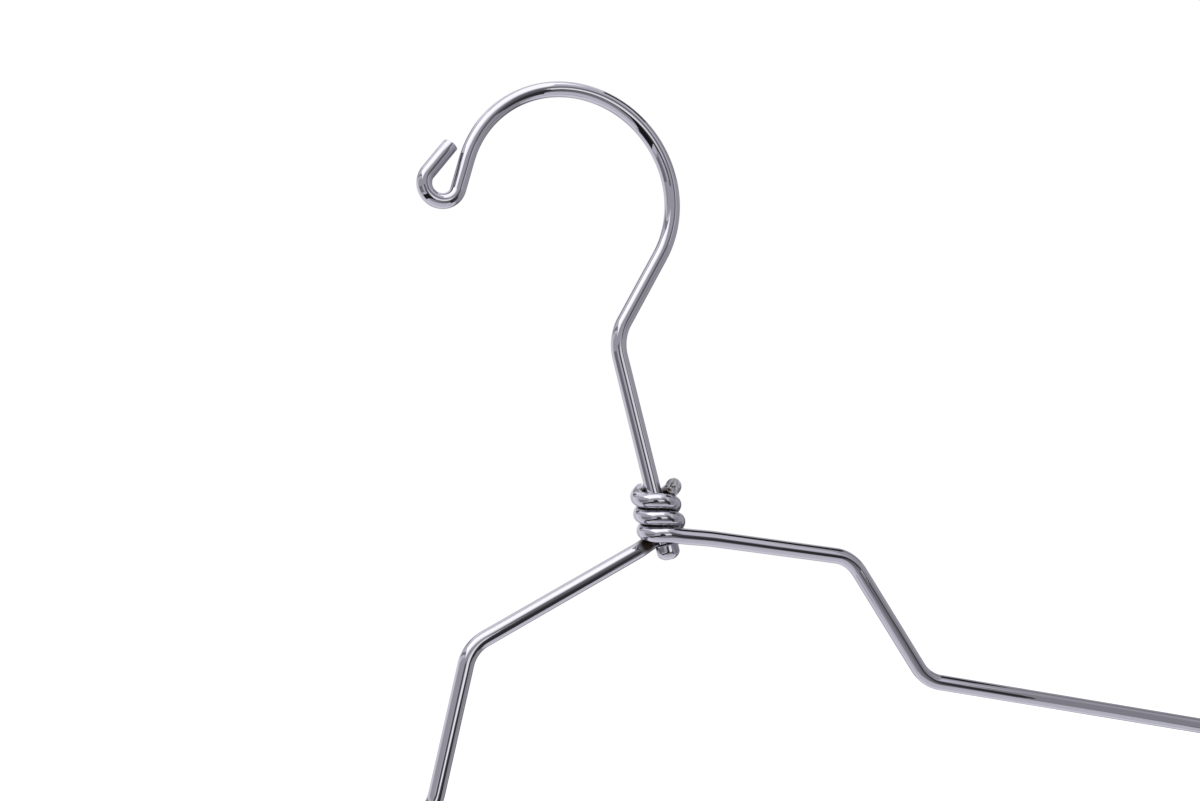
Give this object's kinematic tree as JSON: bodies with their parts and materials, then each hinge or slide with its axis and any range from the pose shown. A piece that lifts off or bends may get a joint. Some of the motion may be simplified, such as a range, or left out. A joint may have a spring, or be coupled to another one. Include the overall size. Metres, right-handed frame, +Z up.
{
  "type": "metal suit hanger",
  "caption": "Bent steel wire suit hanger with a raised neck, sloping shoulders, a trouser bar and a hook that swivels in the frame's twisted neck.",
  "frame": {"origin": "the rail seat, the highest point inside the hook's arch, where the hanger hangs on a rail", "axes": "+X along the trouser bar, to the right seen from the front; +Y to the back, through the hanger's thickness; +Z up. The front is the -Y side, where the right arm crosses the stem."},
  "size_m": [0.43, 0.011, 0.22],
  "materials": {
    "bright_steel": "mirror polished drawn steel wire, with dull grey sheared ends"
  },
  "bodies": {
    "hook": {"swivel_hook": "bright_steel"},
    "frame": {"frame_wire": "bright_steel"}
  },
  "joints": [
    {"name": "hook_swivel", "type": "hinge", "parent": "hook", "child": "frame", "pos_m": [0.00642, 0, -0.09876], "axis": [-0.0506, 0, 0.9987], "continuous": true}
  ]
}
